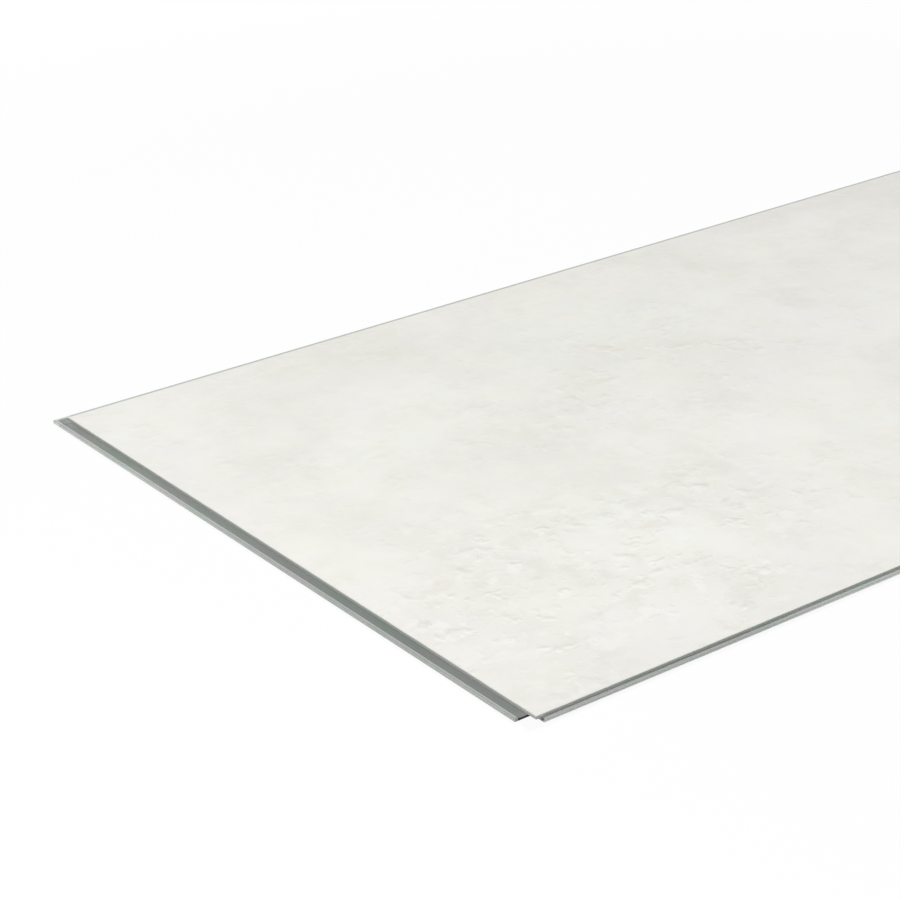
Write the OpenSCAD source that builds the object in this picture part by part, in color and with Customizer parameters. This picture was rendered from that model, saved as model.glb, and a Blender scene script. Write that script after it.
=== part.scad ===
// Click-together PVC wall panel: a grey rigid core with a click profile milled
// on all four edges, and a thin concrete-look decor layer bonded to its face.
// The back lies on z = 0 and the origin is the back's centre, under the decor.
// +X runs along the panel's length and +Z points out of the decor face.
// Tongues stand out at -Y and +X. Lower lips, which the next panel's tongue
// side closes over, stand out at +Y and -X.

/* [Panel] */
// Length of the decor face
panel_l = 900; // [300:10:2600]
// Width of the decor face
panel_w = 450; // [150:5:900]
// Overall thickness, decor layer included
panel_t = 5; // [4.6:0.1:8]
// Thickness of the printed decor and wear layer
decor_t = 0.15; // [0.1:0.01:0.6]
// Small bevel round the decor's top edge
decor_bevel = 0.05; // [0.02:0.01:0.08]

/* [Tongue] */
// Thickness of the tongue, which ends in a full round nose
tongue_t = 2.2; // [1.6:0.1:2.7]
// Reach of the tongue along the long edge
long_tongue = 2.1; // [1.6:0.1:4]
// Reach of the tongue along the short edge
short_tongue = 3.6; // [1.6:0.1:4.4]

/* [Lower lip] */
// Thickness of the lower lip under its trough
lip_t = 0.95; // [0.6:0.05:1.2]
// Reach of the lower lip along the long edge
long_lip = 8.6; // [6:0.1:12]
// Reach of the lower lip along the short edge
short_lip = 5.5; // [4.5:0.1:10]
// Height of the locking ridge above the trough
ridge_h = 1.05; // [0.6:0.05:1.3]
// Width of the long edge's ridge across its top
long_ridge = 2.2; // [1.4:0.1:3]
// Width of the short edge's ridge across its top
short_ridge = 1.7; // [1.4:0.1:3]
// Radius along the ridge's outer top corner
ridge_r = 0.6; // [0.2:0.1:0.7]
// Lean of the ridge's locking wall, from its top to the trough
lock_lean = 0.4; // [0:0.1:0.8]

/* [Fit] */
// Clearance between the mating faces of two joined panels
fit_gap = 0.1; // [0.05:0.01:0.2]
// Free space past the tongue's nose and past the lip's end
end_gap = 0.3; // [0.1:0.05:0.6]
// Radius in the two inner corners of the slots
slot_r = 0.4; // [0.1:0.1:0.8]

/* [Hidden] */

core_t = panel_t - decor_t;
tongue_r = tongue_t / 2;
tongue_mid = lip_t + fit_gap + tongue_r;      // height of the nose's centre
slot_top = lip_t + tongue_t + 2 * fit_gap;    // height of the slots' upper wall
ridge_z = lip_t + ridge_h;                    // height of the ridge's top
long_recess = long_lip + end_gap;             // reach of the recess over a lip
short_recess = short_lip + end_gap;
run_l = panel_l + 2 * (short_lip + short_tongue);  // cutter runs, past both ends
run_w = panel_w + 2 * (long_lip + long_tongue);
over = 1;                                     // how far a cut starts outside

// Points along an arc round a centre, from one angle to the other
function arc(centre, r, from, to, steps = 12) = [
    for (i = [0 : steps])
        let (a = from + (to - from) * i / steps)
            centre + r * [cos(a), sin(a)]
];

// Outline of the tongue side, whose decor edge is at x and whose tongue points
// to -x. It runs from the decor edge down round the nose, then through the
// recess that clears the neighbour's lower lip, to the back.
function tongue_side(x, reach, lip, ridge) =
    let (lock = x + lip - ridge - fit_gap, wall = x + lip + end_gap)
        concat(
            [[x, core_t]],
            [[x, tongue_mid + tongue_r]],
            arc([x - reach + tongue_r, tongue_mid], tongue_r, 90, 270),
            [[lock - lock_lean, tongue_mid - tongue_r]],
            [[lock, ridge_z + fit_gap]],
            [[wall, ridge_z + fit_gap]],
            [[wall, 0]]
        );

// Outline of the lip side, whose decor edge is at x and whose lower lip points
// to +x. It runs from the back up round the lip's end and in to the decor edge,
// and is as high as the ridge all the way, because the slots are cut later.
function lip_side(x, lip) =
    concat(
        [[x + lip, 0]],
        arc([x + lip - ridge_r, ridge_z - ridge_r], ridge_r, 0, 90, 6),
        [[x, ridge_z], [x, core_t]]
    );

// Cross-section of the core before its slots are cut, with its tongue at -x
// and its lower lip at +x
module blank_section(width, tongue, lip, ridge) {
    polygon(concat(
        tongue_side(-width / 2, tongue, lip, ridge),
        lip_side(width / 2, lip)
    ));
}

// Cross-section of the slot for the neighbour's tongue, which runs on out over
// the lower lip as the trough
module slot_section(width, tongue, lip) {
    end_x = width / 2 + lip;
    corner_x = width / 2 - tongue - end_gap + slot_r;
    polygon(concat(
        [[end_x, slot_top], [end_x, lip_t]],
        arc([corner_x, lip_t + slot_r], slot_r, 270, 180, 4),
        arc([corner_x, slot_top - slot_r], slot_r, 180, 90, 4)
    ));
}

// Cross-section of all that lies on the panel's side of the locking wall
module behind_lock(width, lip, ridge) {
    lock = width / 2 + lip - ridge;
    slope = lock_lean / ridge_h;
    polygon([
        [-width, -over],
        [lock - slope * (ridge_z + over), -over],
        [lock + slope * (panel_t - ridge_z), panel_t],
        [-width, panel_t]
    ]);
}

// Cross-section of the decor layer, with its top corners bevelled
module decor_section(width) {
    half = width / 2;
    polygon([
        [-half, core_t],
        [half, core_t],
        [half, panel_t - decor_bevel],
        [half - decor_bevel, panel_t],
        [decor_bevel - half, panel_t],
        [-half, panel_t - decor_bevel]
    ]);
}

// Runs a cross-section along the panel's length
module along_length() {
    rotate([90, 0, 90])
        linear_extrude(run_l, center = true)
            children();
}

// Runs a cross-section across the panel, with its +x side at the -X end
module across_width() {
    rotate([90, 0, 180])
        linear_extrude(run_w, center = true)
            children();
}

// Clears the loose end of ridge that the crossing click cuts leave at the two
// corners where a lower lip runs into a tongue side
module corner_relief() {
    translate([-run_l / 2, -run_w / 2, -over])
        cube([(run_l - panel_l) / 2, (run_w - panel_w) / 2 + long_recess,
              panel_t]);
    translate([panel_l / 2 - short_recess, panel_w / 2, -over])
        cube([run_l, run_w, panel_t]);
}

// Both slots with their troughs. Each stops at the other lip's ridge.
module slots() {
    intersection() {
        union() {
            along_length()
                slot_section(panel_w, long_tongue, long_lip);
            across_width()
                slot_section(panel_l, short_tongue, short_lip);
        }
        along_length()
            behind_lock(panel_w, long_lip, long_ridge);
        across_width()
            behind_lock(panel_l, short_lip, short_ridge);
    }
}

module core() {
    color([0.58, 0.6, 0.58])
        difference() {
            intersection() {
                along_length()
                    blank_section(panel_w, long_tongue, long_lip, long_ridge);
                across_width()
                    blank_section(panel_l, short_tongue, short_lip, short_ridge);
            }
            slots();
            corner_relief();
        }
}

module decor_layer() {
    color([0.93, 0.93, 0.9])
        intersection() {
            along_length()
                decor_section(panel_w);
            across_width()
                decor_section(panel_l);
        }
}

core();
decor_layer();
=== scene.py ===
import bpy
import math
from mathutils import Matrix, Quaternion, Vector


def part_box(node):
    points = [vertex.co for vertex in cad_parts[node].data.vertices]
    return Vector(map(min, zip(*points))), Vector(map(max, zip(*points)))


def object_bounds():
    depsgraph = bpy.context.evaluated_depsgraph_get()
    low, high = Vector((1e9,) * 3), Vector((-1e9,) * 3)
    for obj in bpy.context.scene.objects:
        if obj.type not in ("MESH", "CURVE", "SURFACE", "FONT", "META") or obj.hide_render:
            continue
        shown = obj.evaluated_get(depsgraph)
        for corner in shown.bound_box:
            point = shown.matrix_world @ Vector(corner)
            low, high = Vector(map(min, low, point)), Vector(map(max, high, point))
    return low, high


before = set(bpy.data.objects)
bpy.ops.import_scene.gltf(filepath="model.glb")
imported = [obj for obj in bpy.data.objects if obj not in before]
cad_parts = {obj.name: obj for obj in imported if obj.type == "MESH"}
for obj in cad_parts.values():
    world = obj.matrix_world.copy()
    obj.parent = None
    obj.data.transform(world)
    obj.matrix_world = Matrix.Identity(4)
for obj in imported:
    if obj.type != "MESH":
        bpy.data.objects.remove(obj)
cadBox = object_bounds()
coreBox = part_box("core")
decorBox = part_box("decor_layer")
print("frame loaded:", ", ".join(sorted(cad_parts)))

mm = 0.001
nodeGrid = {"columns": 8, "across": 220, "down": -320}  # how a node tree is laid out


# Helpers for colours and node trees

def tone(red, green, blue):
    # a paint-chart colour, 0 to 255, as a linear one
    def straight(value):
        share = value / 255
        return share / 12.92 if share <= 0.04045 else ((share + 0.055) / 1.055) ** 2.4
    return (straight(red), straight(green), straight(blue), 1.0)


def addNode(tree, kind, inputs=None, **settings):
    node = tree.nodes.new(kind)
    row, column = divmod(len(tree.nodes), nodeGrid["columns"])
    node.location = (column * nodeGrid["across"], row * nodeGrid["down"])
    for name, value in settings.items():
        setattr(node, name, value)
    for key, value in (inputs or {}).items():
        if isinstance(value, bpy.types.NodeSocket):
            tree.links.new(value, node.inputs[key])
        else:
            node.inputs[key].default_value = value
    return node


def maths(tree, operation, first, second=0.0, clamp=False):
    inputs = {0: first, 1: second}
    return addNode(tree, "ShaderNodeMath", inputs, operation=operation, use_clamp=clamp).outputs[0]


def addShare(tree, total, mask, share):
    inputs = {0: mask, 1: share, 2: total}
    return addNode(tree, "ShaderNodeMath", inputs, operation="MULTIPLY_ADD").outputs[0]


def vectorMaths(tree, operation, first, second):
    return addNode(tree, "ShaderNodeVectorMath", {0: first, 1: second}, operation=operation).outputs[0]


def lengthOf(tree, vector):
    return addNode(tree, "ShaderNodeVectorMath", {0: vector}, operation="LENGTH").outputs["Value"]


def splitUp(tree, vector):
    return addNode(tree, "ShaderNodeSeparateXYZ", {0: vector}).outputs


def smoothStep(tree, value, low, high):
    inputs = {"Value": value, "From Min": low, "From Max": high}
    return addNode(tree, "ShaderNodeMapRange", inputs, interpolation_type="SMOOTHSTEP").outputs[0]


def between(tree, mask, least, most):
    inputs = {"Value": mask, "To Min": least, "To Max": most}
    return addNode(tree, "ShaderNodeMapRange", inputs).outputs[0]


def mixColour(tree, amount, under, over):
    inputs = {0: amount, 6: under, 7: over}
    return addNode(tree, "ShaderNodeMix", inputs, data_type="RGBA").outputs[2]


def layPaint(tree, colour, mask, share, paint):
    amount = maths(tree, "MULTIPLY", mask, share, clamp=True)
    return mixColour(tree, amount, colour, tone(*paint))


def startGroup(name, inputs, outputs):
    group = bpy.data.node_groups.new(name, "ShaderNodeTree")
    for label, kind in inputs:
        group.interface.new_socket(label, in_out="INPUT", socket_type="NodeSocket" + kind)
    for label in outputs:
        group.interface.new_socket(label, in_out="OUTPUT", socket_type="NodeSocketFloat")
    return group, addNode(group, "NodeGroupInput").outputs


def endGroup(group, results):
    addNode(group, "NodeGroupOutput", results)
    return group


def useGroup(tree, group, inputs):
    return addNode(tree, "ShaderNodeGroup", inputs, node_tree=group).outputs


def startMaterial(name):
    material = bpy.data.materials.new(name)
    material.use_nodes = True
    return material, material.node_tree


def finishMaterial(tree, colour, roughness, height, looks):
    shader = tree.nodes["Principled BSDF"]
    shader.inputs["Specular IOR Level"].default_value = looks["specular"]
    normal = addNode(tree, "ShaderNodeBump", {
        "Strength": looks["bump"], "Distance": looks["bumpDepth"] * mm, "Height": height}).outputs[0]
    for name, value in (("Base Color", colour), ("Roughness", roughness), ("Normal", normal)):
        tree.links.new(value, shader.inputs[name])


# Shared effects: noisy patches, embossed pits, one placed stain and one box-shaped zone

def makePatchGroup():
    inputs = [("Vector", "Vector"), ("Stretch", "Vector"), ("Scale", "Float"), ("Detail", "Float"),
              ("Roughness", "Float"), ("Low", "Float"), ("High", "Float")]
    group, given = startGroup("noisyPatches", inputs, ["Mask"])
    place = vectorMaths(group, "MULTIPLY", given["Vector"], given["Stretch"])
    noise = addNode(group, "ShaderNodeTexNoise", {
        "Vector": place, "Scale": given["Scale"], "Detail": given["Detail"],
        "Roughness": given["Roughness"]})
    return endGroup(group, {"Mask": smoothStep(group, noise.outputs["Fac"], given["Low"], given["High"])})


patchGroup = makePatchGroup()


def patches(tree, place, scale, low, high, detail=3.0, roughness=0.5, stretch=(1, 1, 1)):
    return useGroup(tree, patchGroup, {
        "Vector": place, "Stretch": stretch, "Scale": scale, "Detail": detail,
        "Roughness": roughness, "Low": low, "High": high})["Mask"]


def makePitGroup():
    # a pit gets a painted shaded side and, shifted from it, a painted highlight, and a height for the bump
    inputs = [("Vector", "Vector"), ("Shift", "Vector"), ("Scale", "Float"), ("Low", "Float"),
              ("High", "Float")]
    group, given = startGroup("embossedPits", inputs, ["Light", "Dark", "Height"])
    shape = {"detail": 2.0, "roughness": 0.5}
    sizes = (given["Scale"], given["Low"], given["High"])
    pit = patches(group, given["Vector"], *sizes, **shape)
    moved = vectorMaths(group, "ADD", given["Vector"], given["Shift"])
    lip = patches(group, moved, *sizes, **shape)
    return endGroup(group, {"Light": maths(group, "SUBTRACT", lip, pit, clamp=True),
                            "Dark": maths(group, "SUBTRACT", pit, lip, clamp=True),
                            "Height": maths(group, "SUBTRACT", 1.0, pit)})


def makeStainGroup():
    inputs = [("Vector", "Vector"), ("Place", "Vector"), ("Turn", "Vector"), ("Size", "Vector"),
              ("Edge", "Float")]
    group, given = startGroup("placedStain", inputs, ["Mask"])
    local = addNode(group, "ShaderNodeMapping", {
        "Vector": given["Vector"], "Location": given["Place"], "Rotation": given["Turn"],
        "Scale": given["Size"]}, vector_type="TEXTURE").outputs[0]
    return endGroup(group, {"Mask": smoothStep(group, lengthOf(group, local), 1.0, given["Edge"])})


def makeZoneGroup():
    inputs = [("Vector", "Vector"), ("Centre", "Vector"), ("Half", "Vector")]
    group, given = startGroup("insideBox", inputs, ["Mask"])
    local = addNode(group, "ShaderNodeMapping", {
        "Vector": given["Vector"], "Location": given["Centre"], "Scale": given["Half"]},
        vector_type="TEXTURE").outputs[0]
    away = splitUp(group, vectorMaths(group, "ABSOLUTE", local, (0, 0, 0)))
    furthest = maths(group, "MAXIMUM", maths(group, "MAXIMUM", away["X"], away["Y"]), away["Z"])
    return endGroup(group, {"Mask": maths(group, "LESS_THAN", furthest, 1.0)})


pitGroup = makePitGroup()
stainGroup = makeStainGroup()
zoneGroup = makeZoneGroup()
print("shared effects made")


# Camera, at the viewing angle that shows the slot edge and the tongue edge

cameraSet = {
    "lens": 98.9,                # mm, on a 36 mm sensor
    "aim": (-304.15, 39.37),     # mm, where the lens axis meets the decor face
    "distance": 1410.86,         # mm, from there back to the lens
    "heading": 54.41,            # degrees from +X towards +Y
    "pitch": 24.42,              # degrees down
    "roll": -2.0,                # degrees about the lens axis
    "clipEnd": 100.0,            # m
}


def makeCamera():
    heading, pitch = (math.radians(cameraSet[key]) for key in ("heading", "pitch"))
    look = Vector((math.cos(pitch) * math.cos(heading), math.cos(pitch) * math.sin(heading),
                   -math.sin(pitch)))
    aim = Vector((cameraSet["aim"][0] * mm, cameraSet["aim"][1] * mm, decorBox[1].z))
    bpy.ops.object.camera_add(location=aim - look * cameraSet["distance"] * mm)
    camera = bpy.context.object
    camera.name = "sheetCamera"
    camera.rotation_mode = "QUATERNION"
    roll = Quaternion((0, 0, 1), math.radians(cameraSet["roll"]))
    camera.rotation_quaternion = look.to_track_quat("-Z", "Y") @ roll
    camera.data.lens = cameraSet["lens"]
    camera.data.clip_end = cameraSet["clipEnd"]
    bpy.context.scene.camera = camera
    print("camera set")


# Studio: a pale floor, three lamps and a plain world

lampSet = {
    # W, m across, degrees from +X towards +Y, degrees up, and m from the sheet's middle
    "key": {"power": 1560.0, "size": 3.0, "heading": 20.0, "height": 42.0, "distance": 14.0},
    "fill": {"power": 10.4, "size": 0.6, "heading": 202.0, "height": 28.0, "distance": 1.8},
    "side": {"power": 1.5, "size": 0.5, "heading": 150.0, "height": 30.0, "distance": 1.4},
}
floorSet = {
    "size": 60.0,                # m
    "paint": (248, 248, 248),
    "nearLift": 0.92,            # share of plain white in what the camera sees, by the sheet
    "clearFrom": 0.62,           # m from the middle, where it starts to rise
    "clearBy": 1.1,              # and where the floor is plain white
    "worldLevel": 0.16,
}


def makeLamp(name, power, size, heading, height, distance):
    flat, up = math.radians(heading), math.radians(height)
    way = Vector((math.cos(up) * math.cos(flat), math.cos(up) * math.sin(flat), math.sin(up)))
    bpy.ops.object.light_add(type="AREA", location=way * distance)
    lamp = bpy.context.object
    lamp.name = name + "Lamp"
    lamp.rotation_mode = "QUATERNION"
    lamp.rotation_quaternion = (-way).to_track_quat("-Z", "Y")
    lamp.data.energy = power
    lamp.data.size = size
    lamp.visible_camera = False


def makeFloorPaint():
    # the sheet's shadow shows by the sheet, and further out the camera sees plain white
    material, tree = startMaterial("paleFloor")
    tree.nodes.clear()
    place = addNode(tree, "ShaderNodeTexCoord").outputs["Object"]
    clear = smoothStep(tree, lengthOf(tree, place), floorSet["clearFrom"], floorSet["clearBy"])
    lift = between(tree, clear, floorSet["nearLift"], 1.0)
    seen = addNode(tree, "ShaderNodeLightPath").outputs["Is Camera Ray"]
    matt = addNode(tree, "ShaderNodeBsdfDiffuse", {"Color": tone(*floorSet["paint"])}).outputs[0]
    white = addNode(tree, "ShaderNodeEmission").outputs[0]
    mixed = addNode(tree, "ShaderNodeMixShader", {0: maths(tree, "MULTIPLY", seen, lift), 1: matt, 2: white})
    addNode(tree, "ShaderNodeOutputMaterial", {"Surface": mixed.outputs[0]})
    return material


def makeFloor():
    bpy.ops.object.select_all(action="DESELECT")
    bpy.ops.mesh.primitive_plane_add(size=floorSet["size"], location=(0, 0, cadBox[0].z))
    floor = bpy.context.object
    floor.name = "studioFloor"
    floor.data.materials.append(makeFloorPaint())


def makeWorld():
    # plain white to the camera and to reflections, and a low level for the light it gives
    world = bpy.data.worlds.new("studioWorld")
    bpy.context.scene.world = world
    world.use_nodes = True
    tree = world.node_tree
    tree.nodes.clear()
    path = addNode(tree, "ShaderNodeLightPath").outputs
    shown = maths(tree, "MAXIMUM", path["Is Camera Ray"], path["Is Glossy Ray"])
    shown = maths(tree, "MAXIMUM", shown, path["Is Transmission Ray"])
    plain, white = (addNode(tree, "ShaderNodeBackground", {"Color": (1, 1, 1, 1), "Strength": level})
                    for level in (floorSet["worldLevel"], 1.0))
    mixed = addNode(tree, "ShaderNodeMixShader", {0: shown, 1: plain.outputs[0], 2: white.outputs[0]})
    addNode(tree, "ShaderNodeOutputWorld", {"Surface": mixed.outputs[0]})


def makeStudio():
    makeFloor()
    for name, values in lampSet.items():
        makeLamp(name, **values)
    makeWorld()
    print("studio built")


# Decor: a concrete print under a satin wear layer, lightly embossed

decorSet = {
    # paints, 0 to 255
    "light": (243, 242, 236),
    "dark": (234, 233, 226),
    "stain": (222, 221, 212),
    # paint of the pits' painted shade
    "pit": (213, 212, 204),
    # pale paint, also the painted highlight of the pits
    "lit": (251, 251, 247),
    "cool": (238, 237, 235),
    # paint of the painted shade areas
    "shade": (228, 226, 221),
    "green": (236, 239, 232),
    # paint of the painted shade along the edges
    "edge": (202, 204, 198),
    "tint": (0.028, 0.028, 0.085),   # strength of the cloudy tint in red, green and blue
    # noise: scale, low and high level, and where given detail and roughness
    "noises": {
        "mottle": (9.0, 0.3, 0.7, 8.0, 0.68),
        "grain": (70.0, 0.38, 0.62, 5.0, 0.6),
        "blotch": (24.0, 0.54, 0.72, 5.0, 0.6),
        "wear": (18.0, 0.3, 0.55),
        "dull": (58.0, 0.5, 0.62, 5.0, 0.66),
        "flake": (74.0, 0.54, 0.64, 4.0, 0.6),
        "rim": (90.0, 0.4, 0.6),
    },
    "ripple": {"Scale": 42.0, "Detail": 6.0, "Roughness": 0.65},
    "stainSway": 0.05,               # m that the ripple moves the outline of a stain or an area
    "pitSway": 0.016,                # and of a pit
    # how strongly each layer covers what is under it
    "areaShares": {"shade": 1.0, "cool": 0.5, "green": 0.5},
    "stainShare": 0.4,
    "blotchShare": 0.4,
    "spotShare": 0.36,
    "grainFloor": 0.3,               # share of a stain between its grains
    "wearFloor": 0.3,                # wear outside the worn areas
    "areaEdge": 0.0,                 # share of its reach where an area is full
    "stainEdge": 0.2,                # and where a stain is
    # pits in three sizes: noise scale, shift of the lit side in mm, noise level and strength
    "pits": [(62.0, 2.2, 0.6, 0.6), (105.0, 1.5, 0.6, 0.55), (190.0, 1.0, 0.59, 0.3)],
    "pitEdge": 0.12,                 # noise level from a pit's rim to its floor
    # painted shade along the edges, where a rolled-over edge would turn from the light
    "rimFull": 0.05,                 # mm from the edge, where its paint is full
    "rimReach": 1.0,                 # and where it ends
    "rimShare": (0.6, 0.9),          # least and most strength, patch by patch
    "rimByLip": 0.4,                 # share of it along the long lip
    "roughness": (0.58, 0.72),
    "specular": 0.3,
    "bump": 0.15,
    "bumpDepth": 0.06,               # mm
    # places in mm from the middle: x, y, length, width, turn in degrees and strength
    "stains": [
        (-25, -15, 70, 30, 35, 1.0), (12, 92, 84, 46, 70, 0.9), (-140, -8, 80, 26, -10, 0.8),
        (-236, 6, 70, 34, 80, 0.6), (-205, -75, 70, 34, 10, 0.7), (-192, -112, 66, 38, 30, 0.5),
        (-160, 88, 56, 40, 60, 0.5), (-208, 52, 60, 20, 65, 0.5), (2, 188, 60, 34, 75, 1.0),
        (-35, 214, 150, 30, 0, 0.7), (120, 150, 130, 70, 30, 0.7), (-376, -112, 30, 24, 0, 0.5),
        (-385, -206, 44, 18, 0, 0.9), (-388, 98, 70, 40, 20, 0.35), (-315, 206, 50, 16, 10, 0.5),
        (-120, 160, 28, 16, 0, 0.5), (-246, 80, 22, 40, 15, 0.6), (-245, -148, 20, 12, 0, 0.9),
    ],
    "paleAreas": [
        (-75, -82, 90, 40, 15, 0.9), (-140, -34, 50, 12, -5, 1.0), (-350, 76, 80, 50, 40, 0.7),
        (-262, -68, 60, 26, 10, 0.6), (-60, 120, 90, 60, 20, 0.6), (-285, -125, 70, 30, 30, 0.6),
    ],
    "coolAreas": [
        (-20, 40, 330, 190, 25, 0.9), (-300, -190, 300, 90, 5, 0.7), (-440, 120, 70, 260, 5, 0.8),
    ],
    # broad areas of painted shade that darken the print
    "shadeAreas": [
        (-430, -230, 300, 220, 30, 0.5), (-300, -260, 420, 160, 0, 0.4), (230, 190, 380, 260, 30, 0.5),
        (120, 215, 420, 60, 0, 0.5),
    ],
    "greenAreas": [(-120, 135, 280, 140, 5, 0.9), (-310, 70, 120, 70, 30, 0.4)],
    "wornAreas": [
        (-360, -130, 300, 230, 15, 1.0), (-230, -120, 240, 160, 20, 0.7), (-150, 60, 380, 200, 10, 0.35),
        (-310, -195, 200, 70, 10, 0.7),
    ],
    # the same places again, turned round, towards the +X end
    "copiedFrom": -100,              # mm, only places on this side are repeated
    "copyShift": (30, -15),          # mm
    "copyShare": 0.8,
}


def addCopies(rows):
    shiftX, shiftY = decorSet["copyShift"]
    copies = [(shiftX - x, shiftY - y, length, width, 90 - turn, decorSet["copyShare"] * strength)
              for x, y, length, width, turn, strength in rows if x < decorSet["copiedFrom"]]
    return rows + copies


def placeStains(tree, place, rows, edge):
    total = 0.0
    for x, y, length, width, turn, strength in addCopies(decorSet[rows]):
        mask = useGroup(tree, stainGroup, {
            "Vector": place, "Place": (x * mm, y * mm, decorBox[1].z),
            "Turn": (0, 0, math.radians(turn)), "Size": (length / 2 * mm, width / 2 * mm, 1.0),
            "Edge": decorSet[edge]})["Mask"]
        total = addShare(tree, total, mask, strength)
    return total


def printConcrete(tree, place, mottle, noisy):
    # mottled concrete, broad tinted areas and broad areas of painted shade, pale areas, then stains
    colour = mixColour(tree, mottle, tone(*decorSet["light"]), tone(*decorSet["dark"]))
    for paint, share in decorSet["areaShares"].items():
        area = placeStains(tree, place, paint + "Areas", "areaEdge")
        colour = layPaint(tree, colour, area, share, decorSet[paint])
    grain = between(tree, noisy("grain"), decorSet["grainFloor"], 1.0)
    pale = maths(tree, "MULTIPLY", placeStains(tree, place, "paleAreas", "stainEdge"), grain)
    colour = layPaint(tree, colour, pale, decorSet["stainShare"], decorSet["lit"])
    stain = maths(tree, "MULTIPLY", placeStains(tree, place, "stains", "stainEdge"), grain)
    stain = addShare(tree, stain, noisy("blotch"), decorSet["blotchShare"])
    return layPaint(tree, colour, stain, decorSet["stainShare"], decorSet["stain"])


def addWear(tree, colour, height, worn, pitPlace, noisy):
    # dull spots, pale flakes and pits where the print is worn, the pits with a painted highlight and painted
    # shade
    for spots, paint in (("dull", "stain"), ("flake", "lit")):
        spotted = maths(tree, "MULTIPLY", noisy(spots), worn)
        colour = layPaint(tree, colour, spotted, decorSet["spotShare"], decorSet[paint])
    for scale, shift, level, strength in decorSet["pits"]:
        pits = useGroup(tree, pitGroup, {
            "Vector": pitPlace, "Shift": (shift * mm, shift * mm, 0), "Scale": scale, "Low": level,
            "High": level + decorSet["pitEdge"]})
        # painted highlight and painted shade of each pit
        for side, paint in (("Light", "lit"), ("Dark", "pit")):
            pitted = maths(tree, "MULTIPLY", pits[side], worn)
            colour = layPaint(tree, colour, pitted, strength, decorSet[paint])
        height = addShare(tree, height, pits["Height"], worn)
    return colour, height


def findRimShade(tree, place, noisy):
    # painted shade along the edges, as a rolled-over edge turning from the light would show, more so in
    # places
    split = splitUp(tree, place)
    fromEnd = maths(tree, "SUBTRACT", decorBox[1].x, maths(tree, "ABSOLUTE", split["X"]))
    fromSide = maths(tree, "SUBTRACT", decorBox[1].y, maths(tree, "ABSOLUTE", split["Y"]))
    full, reach = decorSet["rimFull"] * mm, decorSet["rimReach"] * mm
    rim = smoothStep(tree, maths(tree, "MINIMUM", fromEnd, fromSide), reach, full)
    rim = maths(tree, "MULTIPLY", rim, between(tree, noisy("rim"), *decorSet["rimShare"]))
    byLongLip = maths(tree, "GREATER_THAN", split["Y"], decorBox[1].y - reach)
    return maths(tree, "MULTIPLY", rim, between(tree, byLongLip, 1.0, decorSet["rimByLip"]))


def makeDecorPaint():
    material, tree = startMaterial("concreteDecor")
    place = addNode(tree, "ShaderNodeTexCoord").outputs["Object"]

    def noisy(name):
        return patches(tree, place, *decorSet["noises"][name])

    # a rippled copy of the place gives stains and pits their ragged outlines
    ripple = addNode(tree, "ShaderNodeTexNoise", {"Vector": place, **decorSet["ripple"]}).outputs["Color"]
    wave = vectorMaths(tree, "SUBTRACT", ripple, (0.5, 0.5, 0.5))

    def rippled(sway):
        moved = vectorMaths(tree, "MULTIPLY", wave, (decorSet[sway], decorSet[sway], 0.0))
        return vectorMaths(tree, "ADD", place, moved)

    worn = maths(tree, "ADD", placeStains(tree, place, "wornAreas", "stainEdge"), decorSet["wearFloor"])
    worn = maths(tree, "MULTIPLY", worn, noisy("wear"), clamp=True)
    mottle = noisy("mottle")
    colour = printConcrete(tree, rippled("stainSway"), mottle, noisy)
    colour, height = addWear(tree, colour, mottle, worn, rippled("pitSway"), noisy)
    colour = layPaint(tree, colour, findRimShade(tree, place, noisy), 1.0, decorSet["edge"])
    colour = vectorMaths(tree, "ADD", colour, vectorMaths(tree, "MULTIPLY", wave, decorSet["tint"]))
    finishMaterial(tree, colour, between(tree, mottle, *decorSet["roughness"]), height, decorSet)
    return material


# Core: grey rigid PVC, milled along the edges and plain on the back

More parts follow.
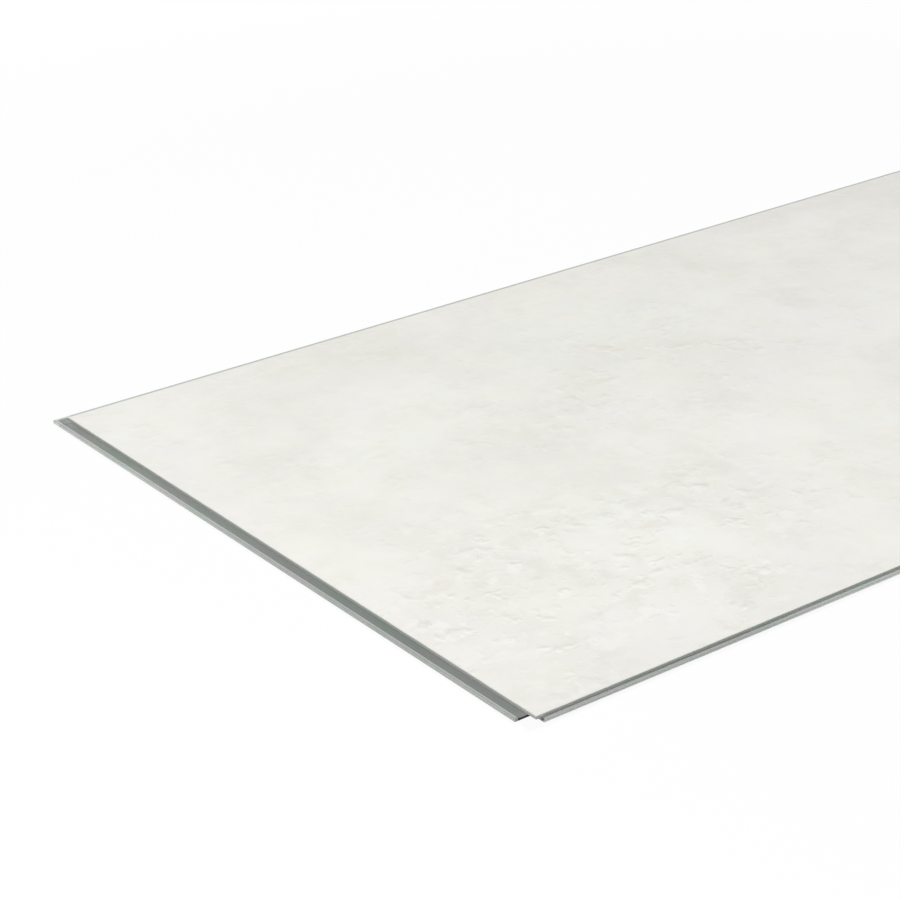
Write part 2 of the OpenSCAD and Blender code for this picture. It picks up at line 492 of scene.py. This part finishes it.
coreSet = {
    # paints, 0 to 255
    "paint": (181, 186, 181),
    "neutral": (182, 184, 181),
    "green": (176, 184, 178),
    "speck": (150, 155, 150),
    "chip": (205, 209, 205),
    "groove": (165, 170, 165),
    # noise: scale, low and high level, and where given detail
    "noises": {
        "neutral": (30.0, 0.4, 0.6),
        "green": (22.0, 0.5, 0.62),
        "mark": (1.0, 0.3, 0.7, 4.0),
        "speck": (1500.0, 0.62, 0.7),
        "chip": (420.0, 0.64, 0.74),
        "grit": (700.0, 0.2, 0.8),
    },
    "markCells": (14, 2400),         # noise cells per m along a cutter mark and across it
    "endReach": 7,                   # mm, how far in the marks of the two ends go
    # how strongly each layer covers what is under it
    "grooveShare": 0.35,
    "speckShare": 0.5,
    "gritShare": 0.5,                # height of the grit, against that of the marks
    "roughness": (0.6, 0.75),
    "specular": 0.3,
    "bump": 0.3,
    "bumpDepth": 0.05,               # mm
    # zones of painted light and shade: x and y are mm in from the core's -X end and -Y side, farY is
    # mm in from its +Y side, and z is mm up from its back. A zone alone makes its paint "bright"
    # times as bright, and where zones and painted light ramps overlap, what they add and take away is summed
    "lightAndShadeZones": [
        {"x": (0.1, 1.7), "z": (1.7, 2.3), "bright": 0.87},         # top of the short ridge
        {"x": (-0.1, 0.1), "z": (-0.01, 1.41), "bright": 1.05},     # end face of the short lip
        {"x": (5.6, 10.0), "z": (0.9, 3.4), "bright": 1.08},        # inside the short slot
        {"x": (5.45, 5.55), "z": (3.3, 4.9), "bright": 0.87},       # butt face above the short slot
        {"y": (-0.1, 1.7), "z": (0.8, 2.0), "bright": 1.62},        # underside of the long tongue
        {"y": (-0.2, 1.2), "z": (2.05, 3.05), "bright": 1.16},      # its nose
        {"y": (0.4, 2.2), "z": (3.06, 3.34), "bright": 0.86},       # its top
        {"farY": (-0.1, 8.3), "z": (-0.1, 3.1), "bright": 1.14},    # long lip
        # painted shade on the saw cut across the short lip, the cut end of the long tongue, and the floor
        # where the troughs meet
        {"x": (1.8, 8.6), "y": (10.8, 11.4), "z": (-0.1, 1.0), "bright": 0.12},
        {"x": (8.9, 9.5), "y": (0.7, 3.1), "z": (1.0, 3.2), "bright": 0.25},
        {"x": (1.5, 9.9), "farY": (2.1, 9.5), "z": (0.78, 1.02), "bright": 0.21},
    ],
    # painted light that grows along an axis, between two places in mm from the sheet's middle
    "paintedLightRamps": [
        {"x": (1.6, 10.4), "z": (0.6, 3.4), "grow": ("Y", -170, 200), "add": 0.22},     # short trough
        {"x": (-0.1, 0.1), "z": (-0.01, 1.41), "grow": ("Y", -60, 180), "add": 0.36},   # end of its lip
        {"x": (-0.1, 1.7), "z": (1.4, 2.1), "grow": ("Y", -100, 180), "add": 0.18},     # its ridge
        {"y": (-0.1, 1.7), "z": (0.8, 2.0), "grow": ("X", -340, -200), "add": 0.4},     # under the tongue
        {"y": (-0.2, 1.2), "z": (2.0, 2.4), "grow": ("X", -340, -200), "add": 0.45},    # low on its nose
        {"y": (-0.2, 1.2), "z": (2.05, 3.05), "grow": ("X", -330, -220), "add": 0.16},  # all its nose
        {"y": (0.4, 2.2), "z": (3.06, 3.34), "grow": ("X", -340, -240), "add": 0.28},   # its top
        {"y": (1.95, 2.25), "z": (3.2, 3.95), "grow": ("X", -340, -240), "add": 0.18},  # face above it
    ],
    "zoneMargin": 1.0,               # mm past the core, where a zone runs right across it
}


def markEdges(tree, place, split):
    # cutter marks run along each edge, and roller marks along the back
    coarse, fine = coreSet["markCells"]
    mark = coreSet["noises"]["mark"]
    lengthways = patches(tree, place, *mark, stretch=(coarse, fine, fine))
    crossways = patches(tree, place, *mark, stretch=(fine, coarse, fine))
    endStart = decorBox[1].x - coreSet["endReach"] * mm
    atEnd = maths(tree, "GREATER_THAN", maths(tree, "ABSOLUTE", split["X"]), endStart)
    return addNode(tree, "ShaderNodeMix", {0: atEnd, 2: lengthways, 3: crossways}).outputs[0]


def insideZone(tree, place, zone):
    margin = Vector((1, 1, 1)) * coreSet["zoneMargin"] * mm
    low, high = coreBox[0] - margin, coreBox[1] + margin
    for axis, name in enumerate("xyz"):
        if name in zone:
            low[axis], high[axis] = (coreBox[0][axis] + reach * mm for reach in zone[name])
    if "farY" in zone:
        high.y, low.y = (coreBox[1].y - reach * mm for reach in zone["farY"])
    return useGroup(tree, zoneGroup, {
        "Vector": place, "Centre": (low + high) / 2, "Half": (high - low) / 2})["Mask"]


def findBrightness(tree, place, split):
    # painted light and shade by zone, then painted light that grows along an axis
    bright = 1.0
    for zone in coreSet["lightAndShadeZones"]:
        bright = addShare(tree, bright, insideZone(tree, place, zone), zone["bright"] - 1)
    # painted light ramps, brightening the core along an axis
    for zone in coreSet["paintedLightRamps"]:
        axis, start, end = zone["grow"]
        growing = smoothStep(tree, split[axis], start * mm, end * mm)
        rampedLight = maths(tree, "MULTIPLY", growing, insideZone(tree, place, zone))
        bright = addShare(tree, bright, rampedLight, zone["add"])
    return bright


def makeCorePaint():
    material, tree = startMaterial("greyCore")
    place = addNode(tree, "ShaderNodeTexCoord").outputs["Object"]
    split = splitUp(tree, place)

    def noisy(name):
        return patches(tree, place, *coreSet["noises"][name])

    marks = markEdges(tree, place, split)
    colour = tone(*coreSet["paint"])
    for paint in ("neutral", "green"):
        colour = layPaint(tree, colour, noisy(paint), 1.0, coreSet[paint])
    colour = layPaint(tree, colour, marks, coreSet["grooveShare"], coreSet["groove"])
    for paint in ("speck", "chip"):
        colour = layPaint(tree, colour, noisy(paint), coreSet["speckShare"], coreSet[paint])
    bright = findBrightness(tree, place, split)
    colour = addNode(tree, "ShaderNodeVectorMath", {0: colour, 3: bright}, operation="SCALE").outputs[0]
    height = addShare(tree, marks, noisy("grit"), coreSet["gritShare"])
    finishMaterial(tree, colour, between(tree, marks, *coreSet["roughness"]), height, coreSet)
    return material


def paintNode(nodeName, material):
    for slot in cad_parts[nodeName].material_slots:
        slot.material = material


makeCamera()
makeStudio()
paintNode("decor_layer", makeDecorPaint())
paintNode("core", makeCorePaint())
print("materials assigned")

bpy.context.scene.view_settings.view_transform = "Standard"
